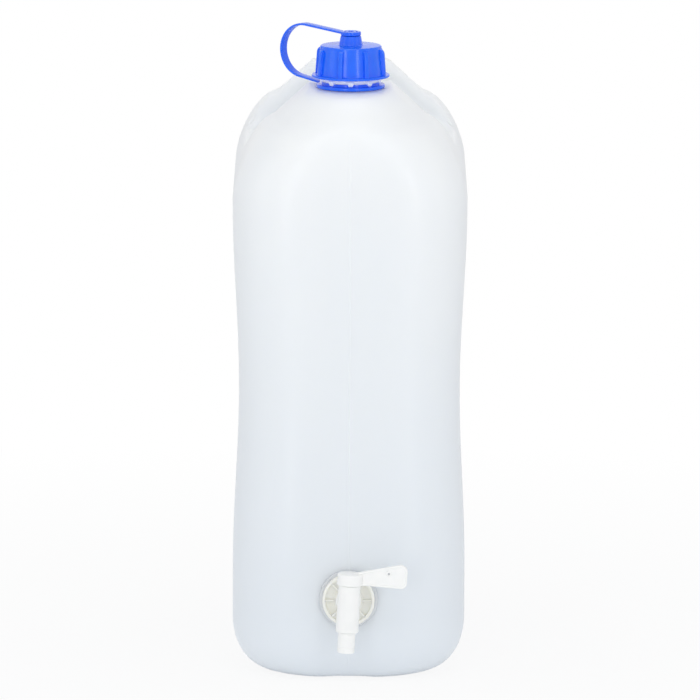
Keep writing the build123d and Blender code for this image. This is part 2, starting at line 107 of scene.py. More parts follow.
gap_front, gap_length = 105.0, 104.0  # saddle under the handle, behind the front
gap_floor, gap_ceiling = 388.0, 419.0
gap_radius, gap_draft = 15.0, 5.0
saddle_edge, saddle_blend = 4.5, 5.0  # rounding where the saddle meets the roof, ends and sides
handle_top, handle_half_width, handle_round = 445.0, 18.5, 9.0
handle_start, handle_ramp, handle_tail = 88.4, 24.0, 237.0
handle_bury = 1.2  # the bar's ends lie this far under the pad
gap_lean = gap_draft / (handle_top - gap_floor)  # run of the end walls for each mm of height


def smooth(share):
    """Smooth step: 0 below 0, 1 above 1, and between them three times the square of the share
    less twice its cube."""
    s = np.clip(share, 0.0, 1.0)
    return s * s * (3 - 2 * s)


def corner_inset(run, rise, curve, height):
    """Inward run of a corner rounded as a superellipse: the share of the rise is raised to the
    curve's power and taken from one, and the curve's root of that is taken from one."""
    share = np.clip(height / rise, 0.0, 1.0)
    return run * (1 - (1 - share**curve) ** (1 / curve))


def waist_share(level):
    """One wave of a raised cosine between the waist's two levels, 0 outside them."""
    turn = np.clip((level - waist_low) / (waist_high - waist_low), 0.0, 1.0)
    return 0.5 - 0.5 * np.cos(2 * pi * turn)


def roof_inset(run, level):
    """Inward run of a shoulder, then of the straight roof slope above it."""
    shoulder = corner_inset(run, shoulder_rise, shoulder_curve, level - shoulder_level)
    return shoulder + np.clip(level - roof_level, 0.0, None) / tan(radians(roof_slope))


def half_width_at(level):
    """Half width: from the foot's to the chest's, less the waist, the foot and the roof."""
    share = np.clip((level - waist_low) / (waist_high - waist_low), 0.0, 1.0)
    plain = foot_half_width + (chest_half_width - foot_half_width) * share
    foot = corner_inset(foot_run, foot_rise, foot_curve, foot_rise - level)
    return plain - waist_depth * waist_share(level) - foot - roof_inset(shoulder_run, level)


def end_insets(level):
    """Distance of the outside from the front face, and from the back face, at a level."""
    foot = corner_inset(foot_run, foot_rise, foot_curve, foot_rise - level)
    drawn_in = waist_depth_front * waist_share(level) + foot
    slope = corner_inset(front_run, front_rise, front_curve, level - (pad_level - front_rise))
    return drawn_in + slope, drawn_in + roof_inset(back_run, level)


def spread(ends, counts):
    """Values from each end to the next, evenly, with a count of steps for each stretch."""
    runs = [np.linspace(a, b, n, endpoint=False) for a, b, n in zip(ends, ends[1:], counts)]
    return np.concatenate(runs + [[ends[-1]]])


def saddle_height(behind):
    """Level of the saddle: a flat floor, a quarter round at each end, then leaning end walls."""
    first = gap_front + gap_draft
    last = gap_front + gap_length - gap_draft
    from_end = np.minimum(behind - first, last - behind)
    wall = gap_floor - from_end / gap_lean
    into_round = np.clip(gap_radius * (1 - gap_lean) - from_end, 0.0, gap_radius)
    rounded = gap_floor + gap_radius - np.sqrt(gap_radius**2 - into_round**2)
    return np.maximum(wall, rounded)


def cut_saddle(points):
    """Presses the roof down to the saddle. Its rim is rounded by a quarter circle along the end
    walls, and along the sides by a smooth minimum: the lower of roof and saddle, less the square
    of what their difference lacks of the blend, over four times the blend."""
    behind = points[..., 1] - front_y
    roof = points[..., 2]
    reach = np.clip(roof - gap_floor, 0.0, None)
    edge = np.minimum(saddle_edge, reach / 2) + 1e-6
    first = gap_front + gap_draft - gap_lean * reach
    last = gap_front + gap_length - gap_draft + gap_lean * reach
    outside = np.maximum(first - behind, behind - last)
    over = np.clip(edge - outside, 0.0, edge)
    rim = roof - edge + np.sqrt(edge**2 - over**2)
    saddle = saddle_height(behind)
    near = np.clip(saddle_blend - np.abs(roof - saddle), 0.0, saddle_blend)
    flat = np.minimum(roof, saddle) - near**2 / (4 * saddle_blend)
    in_roof = roof > shoulder_level
    inside = np.minimum(saddle, np.where(saddle < gap_floor + gap_radius, flat, rim))
    cut = np.where(outside > 0, rim, np.minimum(inside, rim))
    points[..., 2] = np.where(in_roof, cut, roof)
    return points


def canister_surface():
    """Outside of the canister as rings of rounded rectangles. Across the grid, rings run from the
    base's centre line out to the foot, up the sides, over the shoulder and roof, and in to the
    ridge. Round the grid, a ring has its four straights and four corner arcs, with lines gathered
    at the saddle's end walls and at the parting line."""
    base = np.linspace(0.0, 1.0, 9)[:-1]
    foot = foot_rise * (1 - np.cos(np.linspace(0.0, pi / 2, 15)))
    sides = np.linspace(foot_rise, shoulder_level, 48)[1:]
    near_floor = 6.0  # rows are gathered this far to each side of the saddle's floor
    roof = spread([shoulder_level, gap_floor - near_floor, gap_floor + near_floor, pad_level],
                  [12, 14, 26])[1:]
    pad = np.linspace(1.0, 0.0, 12)[1:]
    level = np.concatenate([0 * base, foot, sides, roof, 0 * pad + pad_level])
    grown = np.concatenate([base, 0 * foot + 1, 0 * sides + 1, 0 * roof + 1, pad])
    full = half_width_at(level)
    half = (full * grown)[:, None]
    low_inset, high_inset = end_insets(level)
    shrink = full * (1 - grown)
    low = (low_inset + shrink)[:, None]
    high = (body_depth - high_inset - shrink)[:, None]
    round_off = (np.minimum(corner_radius, full - 1.0) * grown)[:, None]

    # lines along a side: two free stretches, and fixed lines over the saddle, gathered at its ends
    before_saddle, past_saddle = 4.5, 1.2
    first, last = gap_front - before_saddle, gap_front + gap_length + past_saddle
    front_wall, front_round, back_round, back_wall = 10.0, 24.0, 22.0, 8.0  # runs from each end
    fixed = spread([first, first + front_wall, first + front_round, last - back_round,
                    last - back_wall, last], [22, 12, 12, 12, 18])
    free = np.linspace(0.0, 1.0, 12)[:-1]
    start, end = low + round_off, high - round_off
    side = np.hstack([
        start + (first - start) * free,
        np.repeat(fixed[None, :], len(level), axis=0),
        last + (end - last) * (1 - free[::-1]),
    ])
    # lines across an end, gathered at the parting line
    wide = seam_half_width * 3
    across = half - round_off
    seam = np.minimum(across, wide) * np.linspace(-1.0, 1.0, 13)
    outer = np.linspace(1.0, 0.0, 9)[:-1]
    reach = np.maximum(across - wide, 0.0)
    left = -np.minimum(across, wide) - reach * outer
    end_x = np.hstack([left, seam, -left[:, ::-1]])
    turn = np.linspace(0.0, pi / 2, 18)[1:-1]
    arc_x, arc_y = round_off * np.cos(turn), round_off * np.sin(turn)
    ones = np.ones_like(side)
    ends = np.ones_like(end_x)
    x = np.hstack([
        half * ones, across + arc_x, end_x[:, ::-1], -across - arc_x[:, ::-1],
        -half * ones, -across - arc_x, end_x, across + arc_x[:, ::-1],
    ])
    y = np.hstack([
        side, end + arc_y, high * ends, end + arc_y[:, ::-1],
        side[:, ::-1], start - arc_y, low * ends, start - arc_y[:, ::-1],
    ])
    points = np.stack([x, y + front_y, np.repeat(level[:, None], x.shape[1], axis=1)], axis=-1)
    # parting line: a fine ridge round the middle plane, growing outwards on the ends and the roof
    ridge = seam_height * np.exp(-((points[..., 0] / seam_half_width) ** 2))
    on_end = (level > foot_rise / 3) & (level < pad_level - seam_stop)
    outward = np.sign(points[..., 1] - front_y - body_depth / 2)
    points[..., 1] += outward * ridge * on_end[:, None]
    points[..., 1] = np.minimum(points[..., 1], canister_high[1])
    # arch under the base
    bow = (arch_half_width**2 + arch_rise**2) / (2 * arch_rise)
    arch = arch_rise - bow + np.sqrt(bow**2 - np.clip(points[..., 0], -bow, bow) ** 2)
    points[..., 2] = np.maximum(points[..., 2], np.clip(arch, 0.0, None))
    return cut_saddle(points)


def rounded_outline(corners, roundings, steps=6):
    """Outline with a true arc at each corner: points (n, 2). A corner whose rounding is 0 stays
    sharp. The arc's centre lies on the corner's bisector, and its points turn evenly about it."""
    corners = np.asarray(corners, float)
    made = []
    for place, rounding in enumerate(roundings):
        corner = corners[place]
        if rounding <= 0:
            made.append(corner[None, :])
            continue
        back = corners[place - 1] - corner
        ahead = corners[(place + 1) % len(corners)] - corner
        back, ahead = back / np.linalg.norm(back), ahead / np.linalg.norm(ahead)
        opening = acos(np.clip(back @ ahead, -1, 1))
        middle = (back + ahead) / np.linalg.norm(back + ahead)
        centre = corner + middle * rounding / sin(opening / 2)
        reach = rounding / tan(opening / 2)
        start, stop = corner + back * reach - centre, corner + ahead * reach - centre
        share = np.linspace(0.0, 1.0, steps + 1)[:, None]
        turn = pi - opening
        arc = np.sin((1 - share) * turn) * start + np.sin(share * turn) * stop
        made.append(centre + arc / sin(turn))
    return np.vstack(made)


def lathe(outline, angles):
    """Surface of revolution: outline points (radius, height) carried round the Z axis."""
    radius, height = outline[:, 0:1], outline[:, 1:2]
    places = [radius * np.cos(angles), radius * np.sin(angles), height + 0 * angles]
    return np.stack(places, axis=-1)


def full_turn(steps):
    """Angles of a whole turn, without the last, which is the first."""
    return np.linspace(0.0, 2 * pi, steps, endpoint=False)


def grid_faces(rows, columns, closed_round=True, closed_along=False):
    """Quads of a grid. Columns close on themselves if closed_round, and rows if closed_along."""
    r = np.arange(rows if closed_along else rows - 1)[:, None]
    c = np.arange(columns if closed_round else columns - 1)[None, :]
    a = r * columns + c
    b = r * columns + (c + 1) % columns
    up = (r + 1) % rows * columns
    return np.stack([a, b, up + (c + 1) % columns, up + c], axis=-1).reshape(-1, 4)


def put(points, origin, across, along, up):
    """Carries points from a piece's own axes to the frame: the origin, plus each coordinate times
    the direction of its axis."""
    axes = np.array([across, along, up], float)
    return points @ axes + np.asarray(origin, float)


def turned(points, angles):
    """Copies of points, each turned by an angle about the Z axis: one more axis in front."""
    c, s = np.cos(angles)[:, None, None], np.sin(angles)[:, None, None]
    x, y = points[None, ..., 0], points[None, ..., 1]
    z = np.broadcast_to(points[None, ..., 2], (len(angles),) + points.shape[:-1])
    return np.stack([c * x - s * y, s * x + c * y, z], axis=-1)


def capped_grid(points):
    """Faces of a tube-like grid whose two end rows are closed by a face each."""
    rows, columns = points.shape[:2]
    first = list(range(columns))
    last = list(range((rows - 1) * columns, rows * columns))
    return [list(face) for face in grid_faces(rows, columns)] + [first, last]


def repeated(points, angles):
    """Points and faces of a capped grid copied round the Z axis."""
    faces = capped_grid(points)
    size = points.shape[0] * points.shape[1]
    copies = turned(points, np.asarray(angles))
    return copies, [[v + size * k for v in face] for k in range(len(angles)) for face in faces]


def make_piece(name, points, faces, body, material, slot, sharp=38.0):
    """A mesh object from points in millimetres: doubles merged, normals outwards, smooth but for
    edges sharper than a number of degrees. It rides on a body and takes a material."""
    mesh = bpy.data.meshes.new(name)
    corners = (np.asarray(points).reshape(-1, 3) / METRE).tolist()
    mesh.from_pydata(corners, [], [list(face) for face in faces])
    work = bmesh.new()
    work.from_mesh(mesh)
    bmesh.ops.remove_doubles(work, verts=work.verts, dist=MERGE)
    bmesh.ops.dissolve_degenerate(work, edges=work.edges, dist=SLIVER)
    bmesh.ops.recalc_face_normals(work, faces=work.faces)
    work.to_mesh(mesh)
    work.free()
    mesh.polygons.foreach_set("use_smooth", np.ones(len(mesh.polygons), bool))
    mesh.set_sharp_from_angle(angle=radians(sharp))
    mesh.materials.append(material)
    piece = bpy.data.objects.new(name, mesh)
    bpy.context.scene.collection.objects.link(piece)
    if body:
        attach(piece, body)
    return piece


def grid_piece(name, points, *rest, closed_round=True, closed_along=False, **more):
    """make_piece for a grid of points (rows, columns, 3)."""
    faces = grid_faces(*points.shape[:2], closed_round, closed_along)
    return make_piece(name, points, faces, *rest, **more)


# ---------------------------------------------------------------- materials
def linear(hex_colour):
    """sRGB hex to a linear colour with alpha."""
    channels = [int(hex_colour[i:i + 2], 16) / 255 for i in (1, 3, 5)]
    return [c / 12.92 if c <= 0.04045 else ((c + 0.055) / 1.055) ** 2.4 for c in channels] + [1.0]


def add_node(tree, kind, settings=(), wires=(), **links):
    """Adds a node. Settings go to its inputs, by name or place, or to its properties. Wires link
    its inputs by name or place, and links do so by name."""
    node = tree.nodes.new(kind)
    for key, value in dict(settings).items():
        if isinstance(key, int) or key in node.inputs:
            node.inputs[key].default_value = value
        else:
            setattr(node, key, value)
    for key, source in dict(wires).items():
        tree.links.new(source, node.inputs[key])
    for key, source in links.items():
        tree.links.new(source, node.inputs[key.replace("_", " ")])
    return node


# painted shade: the milky wall is painted a little greyer low down, standing in for less light
# from above reaching the bottle
painted_shade_bottom, painted_shade_top = 0.05, 0.42  # metres
gloss_spread = 0.05  # how far the roughness strays to each side
painted_glow_colour = "#DDE6FF"  # colour of the painted light, an emission standing in for light carried by a clear wall


def moulded_plastic(name, colour, deep_colour, roughness, ior, cloud_mm, grain_mm,
                    grain_height_mm, subsurface=0.0, scatter_mm=(6.0, 6.0, 6.0), streak=0.0,
                    painted_shade_colour=None, painted_glow=0.0):
    """Moulded thermoplastic. Cloudiness from a low noise mixes two near colours, as wall thickness
    and pigment vary; a fine noise gives the skin its grain and shifts the roughness a little. A
    colour of painted shade takes over towards the floor, and an emission is painted light that
    stands in for light a clear wall carries."""
    material = bpy.data.materials.new(name)
    material.use_nodes = True
    tree = material.node_tree
    tree.nodes.clear()
    place = add_node(tree, "ShaderNodeTexCoord")
    stretched = add_node(tree, "ShaderNodeMapping", {"Scale": (1.0, 1.0, 1.0 - 0.8 * streak)},
                         Vector=place.outputs["Object"])
    cloud = add_node(tree, "ShaderNodeTexNoise",
                     {"Scale": METRE / cloud_mm, "Detail": 3.0, "Roughness": 0.45},
                     Vector=stretched.outputs["Vector"])
    steps = add_node(tree, "ShaderNodeMapRange", {"From Min": 0.3, "From Max": 0.7},
                     Value=cloud.outputs["Fac"])
    # inputs of a colour mix: 0 share, 6 and 7 the two colours; output 2 the mixed colour
    tint = add_node(tree, "ShaderNodeMix",
                    {"data_type": "RGBA", 6: linear(colour), 7: linear(deep_colour)},
                    {0: steps.outputs["Result"]})
    skin = tint.outputs[2]
    # painted shade: towards the floor the skin colour is mixed into a greyer one, standing in for
    # less light from above
    if painted_shade_colour:
        level = add_node(tree, "ShaderNodeSeparateXYZ", Vector=place.outputs["Object"])
        share = add_node(tree, "ShaderNodeMapRange",
                         {"From Min": painted_shade_bottom, "From Max": painted_shade_top}, Value=level.outputs["Z"])
        painted_shade_mix = add_node(tree, "ShaderNodeMix", {"data_type": "RGBA", 6: linear(painted_shade_colour)},
                         {7: skin, 0: share.outputs["Result"]})
        skin = painted_shade_mix.outputs[2]
    grain = add_node(tree, "ShaderNodeTexNoise",
                     {"Scale": METRE / grain_mm, "Detail": 2.0}, Vector=place.outputs["Object"])
    gloss = add_node(tree, "ShaderNodeMapRange",
                     {"To Min": roughness - gloss_spread, "To Max": roughness + gloss_spread},
                     Value=cloud.outputs["Fac"])
    bump = add_node(tree, "ShaderNodeBump",
                    {"Strength": 1.0, "Distance": grain_height_mm / METRE},
                    Height=grain.outputs["Fac"])
    # the emission is painted light, standing in for light carried by a clear wall
    shader = add_node(tree, "ShaderNodeBsdfPrincipled",
                      {"IOR": ior, "Subsurface Weight": subsurface,
                       "Subsurface Radius": [r / METRE for r in scatter_mm],
                       "Subsurface Scale": 1.0,
                       "Emission Color": linear(painted_glow_colour), "Emission Strength": painted_glow},
                      Base_Color=skin, Roughness=gloss.outputs["Result"],
                      Normal=bump.outputs["Normal"])
    add_node(tree, "ShaderNodeOutputMaterial", Surface=shader.outputs["BSDF"])
    return material


# blow-moulded natural HDPE: milky, faint drawn streaks, satin skin, light carried a few
# millimetres; the grain is drawn coarser than the real one so that it shows
# painted shade: this wall is painted greyer towards the floor
polyethylene = moulded_plastic("natural_hdpe_blow_moulded_painted_shade", "#F4F6F7", "#F0F3F5", 0.34, 1.54,
                               cloud_mm=70.0, grain_mm=2.2, grain_height_mm=0.02,
                               subsurface=0.75, scatter_mm=(12.0, 12.0, 12.5), streak=0.8,
                               painted_shade_colour="#E5EAEF")
# the same at the neck, a lit copy: brighter, and painted light from an emission stands in for the
# light the thick bright wall carries up between ring and cap
neck_polyethylene_painted_glow = moulded_plastic("natural_hdpe_neck_painted_glow", "#F6F7F8", "#F1F3F5", 0.34,
                                    1.54, cloud_mm=70.0, grain_mm=2.2, grain_height_mm=0.02,
                                    subsurface=0.75, scatter_mm=(8.0, 8.0, 8.5), painted_glow=0.14)
# the same at the tap's port, whose thick wall is lit from all round: a lit copy with weaker
# painted light from an emission, and painted shade greyer towards the floor
port_polyethylene_painted_glow_and_shade = moulded_plastic("natural_hdpe_port_painted_glow_and_shade", "#F4F6F7", "#F0F3F5", 0.34, 1.54,
                                    cloud_mm=70.0, grain_mm=2.2, grain_height_mm=0.02,
                                    subsurface=0.75, scatter_mm=(8.0, 8.0, 8.5),
                                    painted_shade_colour="#E5EAEF", painted_glow=0.07)
# injection-moulded blue polyethylene: even pigment, semi-gloss
blue = moulded_plastic("blue_polyethylene_injection_moulded", "#126AFC", "#0E64F6", 0.19, 1.47,
                       cloud_mm=9.0, grain_mm=0.6, grain_height_mm=0.003,
                       subsurface=0.12, scatter_mm=(0.3, 0.5, 1.4))
# injection-moulded white polypropylene: bright and a little glossy
white = moulded_plastic("white_polypropylene_injection_moulded", "#FAFAF8", "#F6F7F5", 0.33, 1.49,
                        cloud_mm=8.0, grain_mm=0.6, grain_height_mm=0.006,
                        subsurface=0.2, scatter_mm=(1.5, 1.5, 1.6))
# painted shade: the same polypropylene, matt and darker, for a disc that stands in for the shade
# in the lever mark's hole
hole_shade_plastic = moulded_plastic("white_polypropylene_painted_hole_shade", "#CDCFD2", "#C2C4C8", 0.6, 1.49,
                          cloud_mm=2.0, grain_mm=0.5, grain_height_mm=0.02)
# natural polypropylene of the bushing: unpigmented, faintly yellow
natural = moulded_plastic("natural_polypropylene_injection_moulded", "#F8F7EE", "#F3F2E8", 0.4,
                          1.49, cloud_mm=10.0, grain_mm=0.8, grain_height_mm=0.008,
                          subsurface=0.6, scatter_mm=(4.0, 3.8, 3.2))
# nitrile rubber of the gasket and o-rings: near black, matt
rubber = moulded_plastic("nitrile_rubber_matt", "#1C1D1F", "#232426", 0.62, 1.52,
                         cloud_mm=4.0, grain_mm=0.4, grain_height_mm=0.01)
# expanded polyethylene of the cap's liner: white, fine cells
foam = moulded_plastic("expanded_polyethylene_liner", "#E9EBEC", "#DFE2E4", 0.7, 1.5,
                       cloud_mm=3.0, grain_mm=0.5, grain_height_mm=0.04)

for node, material in (("cap_seal", foam), ("tap_gasket", rubber),
                       ("plug_o_ring_upper", rubber), ("plug_o_ring_lower", rubber)):
    frame["nodes"][node].data.materials.clear()
    frame["nodes"][node].data.materials.append(material)

# ---------------------------------------------------------------- canister pieces
# painted shade: the shell's material is painted greyer towards the floor
shell = grid_piece("canister_shell", canister_surface(), "container", polyethylene,
                   "natural_polyethylene", sharp=60.0)
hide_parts("canister")


def handle_surface():
    """Handle bar: a rounded rectangle carried along Y, whose top rises smoothly from the roof."""
    behind = np.linspace(handle_start, handle_tail, 90)
    buried = pad_level - handle_bury
    rise = (smooth((behind - handle_start) / handle_ramp)
            * smooth((handle_tail - behind) / handle_ramp))
    top = buried + (handle_top - buried) * rise
    wide, tall = handle_half_width, handle_top - gap_ceiling
    section = rounded_outline([(wide, 0.0), (wide, tall), (-wide, tall), (-wide, 0.0)],
                              [handle_round] * 4, 10)
    share = section[:, 1] / tall
    z = gap_ceiling + (top[:, None] - gap_ceiling) * share[None, :]
    x = np.repeat(section[None, :, 0], len(behind), axis=0)
    y = np.repeat(behind[:, None], len(section), axis=1) + front_y
    return np.stack([x, y, z], axis=-1)


handle_points = handle_surface()
make_piece("handle_bar", handle_points, capped_grid(handle_points), "container", polyethylene,
           "natural_polyethylene")

# ---------------------------------------------------------------- neck and tap port
ring_clear, ring_height = 0.3, 2.5  # tether ring above the roof
bead_above_ring, bead_height = 2.1, 2.4
ring_bottom = pad_level + ring_clear
ring_top = ring_bottom + ring_height
bead_bottom = ring_top + bead_above_ring
bead_top = bead_bottom + bead_height
neck_foot = 430.0  # inside the canister
neck_radius, neck_bore, bead_radius = 20.3, 17.6, 21.0
thread_pitch, thread_fullness = 5.0, 1.35  # with a fullness over 1 the ridge's crest is flat
thread_low, thread_high = 449.5, 463.0
thread_fade = 2.0  # run over which the thread grows at one end and fades at the other
ring_bore, ring_radius = 20.6, 25.4
lug_radius, lug_count = 22.8, 9
lug_top_half, lug_tip_half, lug_round = 2.6, 1.3, 0.6
lug_draw_in = 0.22  # share of the outline lost at the outer face
lip_radius, lip_top = 21.8, bead_bottom - 0.2  # upstand round the ring's bore
shank_end = -15.0  # inner end of the port, the bushing and the stem, from the front face


def thread_height(angles, height, depth, half_width, phase):
    """Helical ridge: the depth times a smooth bump of the distance, along the axis, to the nearest
    turn of the helix, which rises one pitch a turn, faded out at both ends of the thread."""
    turns = (height - thread_low) / thread_pitch - angles / (2 * pi) - phase
    away = np.abs(turns - np.round(turns)) * thread_pitch
    fade = (smooth((height - thread_low) / thread_fade)
            * smooth((thread_high - height) / thread_fade))
    return depth * smooth(thread_fullness * (1 - away / half_width)) * fade


neck_origin = np.array([0.0, neck_y, 0.0])

neck_outline = rounded_outline(
    [(neck_bore, neck_foot), (neck_radius, neck_foot), (neck_radius, bead_bottom),
     (bead_radius, bead_bottom), (bead_radius, bead_top), (neck_radius, bead_top)],
    [0, 0, 0.2, 0.5, 0.5, 0.2])
wall_start, wall_end = bead_top + 0.5, neck_top - 1.6
mouth_start, mouth_end, mouth_round = neck_top - 1.5, neck_top - 3.0, 0.9
neck_wall = np.linspace(wall_start, wall_end, 90)
neck_rim = rounded_outline(
    [(neck_radius, mouth_start), (neck_radius, neck_top), (neck_bore, neck_top),
     (neck_bore, mouth_end)], [0, mouth_round, mouth_round, 0])
neck_side = np.stack([0 * neck_wall + neck_radius, neck_wall], axis=-1)
neck_profile = np.vstack([neck_outline, neck_side, neck_rim])
neck_angles = full_turn(144)
neck_points = lathe(neck_profile, neck_angles)
ridge = thread_height(neck_angles[None, :], neck_profile[:, 1:2], depth=0.9, half_width=1.25,
                      phase=0.0)
ridge = np.where(neck_profile[:, 0:1] > neck_radius - 0.01, ridge, 0.0)
outward = np.stack([np.cos(neck_angles), np.sin(neck_angles)], axis=-1)
neck_points[..., :2] += ridge[..., None] * outward
# painted light: the neck's material carries an emission
grid_piece("neck", neck_points + neck_origin, "container", neck_polyethylene_painted_glow,
           "natural_polyethylene", closed_along=True)


def lug_surface():
    """Stop lug: a shield outline narrowing downwards, carried outwards from the neck, and drawn
    in by a quarter circle at its outer face."""
    low, bend, high = ring_top + 0.4, bead_bottom + 0.8, bead_top - 0.4
    outline = rounded_outline(
        [(-lug_tip_half, low), (lug_tip_half, low), (lug_top_half, bend), (lug_top_half, high),
         (-lug_top_half, high), (-lug_top_half, bend)], [0.6, 0.6, 0.8, 0.5, 0.5, 0.8], 4)
    middle = outline.mean(axis=0)
    edge = np.linspace(0.0, pi / 2, 5)
    outer = lug_radius - lug_round + lug_round * np.sin(edge)
    reach = np.concatenate([[neck_radius - 1.0], outer])
    shrink = np.concatenate([[1.0], 1.0 - lug_draw_in * (1 - np.cos(edge))])
    flat = middle + (outline - middle) * shrink[:, None, None]
    away = np.repeat(reach[:, None], len(outline), axis=1)
    return np.stack([away, flat[..., 0], flat[..., 1]], axis=-1)


lug_angles = np.arange(lug_count) * 2 * pi / lug_count - pi / 2
lug_points, lug_faces = repeated(lug_surface(), lug_angles)
# painted light: the lugs share the neck's emission
make_piece("stop_lugs", lug_points + neck_origin, lug_faces, "container", neck_polyethylene_painted_glow,
           "natural_polyethylene")

front_axes = ((1.0, 0.0, 0.0), (0.0, 0.0, 1.0), (0.0, -1.0, 0.0))  # x, then up, then outwards
port_origin = (0.0, front_y, tap_level)
port_bore, port_radius = 12.5, 16.5
seat_foot, seat_radius, seat_sunk = 22.0, 21.5, -1.0
port_seat = lathe(rounded_outline(
    [(port_bore, shank_end), (port_radius, shank_end), (port_radius, seat_sunk),
     (seat_foot, seat_sunk), (seat_radius, seat_rise), (port_bore, seat_rise)],
    [0.8, 0.8, 0.4, 0, 0.5, 0.3]), full_turn(120))
# painted light: the port seat's material carries a weaker emission, and painted shade towards the
# floor
grid_piece("port_seat", put(port_seat, port_origin, *front_axes), "container", port_polyethylene_painted_glow_and_shade,
           "natural_polyethylene", closed_along=True)

# ---------------------------------------------------------------- cap
cap_bottom, cap_top = bead_top + 1.1, cap_low[2] + 23.4
flange_radius, flange_top = cap_high[0], cap_bottom + 1.7
skirt_foot, skirt_top = 25.0, 22.7  # radii
boss_foot, boss_radius, boss_neck = 8.9, 7.5, 3.8
boss_top = cap_top + 7.0
eyelet_top = boss_top + 3.2
button_radius, button_crown, button_hole = 4.6, 4.1, 2.1
button_low, button_top, hole_floor = eyelet_top - 1.0, eyelet_top - 0.1, boss_top - 3.5
cap_bore = 21.5
bore_roof, bore_chamfer, bore_last = 468.3, 0.4, 465.0


def skirt_radius(height):
    """The skirt narrows evenly from the flange to the cap's top."""
    share = (height - flange_top) / (cap_top - flange_top)
    return skirt_foot + (skirt_top - skirt_foot) * share


bore_rows = np.linspace(bore_last, cap_bottom + 1.2, 80)
bore = np.stack([0 * bore_rows + cap_bore, bore_rows], axis=-1)
cap_outside = rounded_outline(
    [(cap_bore, cap_bottom), (flange_radius, cap_bottom), (flange_radius, flange_top),
     (skirt_foot, flange_top), (skirt_top, cap_top), (boss_foot, cap_top), (boss_radius, boss_top),
     (boss_neck, boss_top), (boss_neck, button_low), (button_radius, button_low),
     (button_crown, button_top), (button_hole, button_top), (button_hole, hole_floor),
     (0.0, hole_floor)],
    [0.4, 0.5, 0.5, 0.8, 1.3, 1.0, 0.6, 0, 0, 0.2, 0.3, 0.3, 0.3, 0], 7)
cap_roof = [(0.0, bore_roof), (cap_bore - bore_chamfer, bore_roof),
            (cap_bore, bore_roof - bore_chamfer)]
cap_profile = np.vstack([cap_roof, bore, cap_outside])
cap_angles = full_turn(144)
cap_points = lathe(cap_profile, cap_angles)
in_bore = np.abs(cap_profile[:, 0:1] - cap_bore) < 0.01
ridge = thread_height(cap_angles[None, :], cap_profile[:, 1:2], depth=0.75, half_width=1.0,
                      phase=0.5)
ridge = np.where(in_bore, ridge, 0.0)
outward = np.stack([np.cos(cap_angles), np.sin(cap_angles)], axis=-1)
cap_points[..., :2] -= ridge[..., None] * outward
cap_piece = grid_piece("cap_shell", cap_points + neck_origin, "closure", blue, "blue_plastic")
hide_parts("screw_cap")


rib_foot_reach, rib_top_reach = 27.3, 26.0
rib_half_width, rib_round, rib_slant = 1.75, 0.9, 3.0
rib_tail, rib_sunk = 0.7, 1.2  # end above the slant, and depth of its root in the skirt
first_rib, rib_count = radians(252.4), 8


def grip_rib_surface():
    """Grip rib: a section with two rounded outer corners, carried up the skirt. Its reach leans
    with the skirt, then falls back to it along a rounded slant."""
    bottom, top = flange_top - 0.9, cap_top - 2.7
    height = spread([bottom, top - rib_slant, top, top + rib_tail], [10, 14, 5])
    fall = (rib_top_reach - rib_foot_reach) * (height - bottom) / (top - 1.8 - bottom)
    reach = rib_foot_reach + fall
    over = np.clip((height - (top - rib_slant)) / (rib_slant + rib_tail), 0.0, 1.0)
    inner = skirt_radius(height) - rib_sunk
    reach = inner + rib_round + (reach - inner - rib_round) * np.sqrt(1 - over**2)
    corner = np.linspace(0.0, pi / 2, 6)
    side = rib_half_width - rib_round + rib_round * np.cos(corner)
    drawn = rib_round - rib_round * np.sin(corner)
    half_y = np.concatenate([[-rib_half_width], -side, side[::-1], [rib_half_width]])
    back_off = np.concatenate([[0.0], drawn, drawn[::-1], [0.0]])
    outer = np.concatenate([[0.0], np.ones(2 * len(corner)), [0.0]])
    radius = inner[:, None] + (reach[:, None] - inner[:, None]) * outer - back_off * outer
    radius = np.maximum(radius, inner[:, None])
    y = np.repeat(half_y[None, :], len(height), axis=0)
    return np.stack([radius, y, np.repeat(height[:, None], len(half_y), axis=1)], axis=-1)


rib_angles = first_rib + np.arange(rib_count) * 2 * pi / rib_count
rib_points, rib_faces = repeated(grip_rib_surface(), rib_angles)
make_piece("cap_grip_ribs", rib_points + neck_origin, rib_faces, "closure", blue, "blue_plastic")

# ---------------------------------------------------------------- tether
ring = lathe(rounded_outline(
    [(ring_bore, ring_bottom), (ring_radius, ring_bottom), (ring_radius, ring_top),
     (lip_radius, ring_top), (lip_radius, lip_top), (ring_bore, lip_top)],
    [0.3, 0.6, 0.6, 0.3, 0.3, 0.3]), full_turn(144))
ring_piece = grid_piece("tether_ring", ring + neck_origin, "container", blue, "blue_plastic",
                        closed_along=True)
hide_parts("cap_tether")
eyelet_low, eyelet_step = boss_top + 0.3, eyelet_top - 1.3
eyelet_bore, eyelet_radius, eyelet_seat = 4.1, 7.5, 4.9
eyelet = lathe(rounded_outline(
    [(eyelet_bore, eyelet_low), (eyelet_radius, eyelet_low), (eyelet_radius, eyelet_top),
     (eyelet_seat, eyelet_top), (eyelet_seat, eyelet_step), (eyelet_bore, eyelet_step)],
    [0.2, 0.5, 0.8, 0.3, 0, 0]), full_turn(72))
grid_piece("tether_eyelet", eyelet + neck_origin, "seal_disc", blue, "blue_plastic",
           closed_along=True)

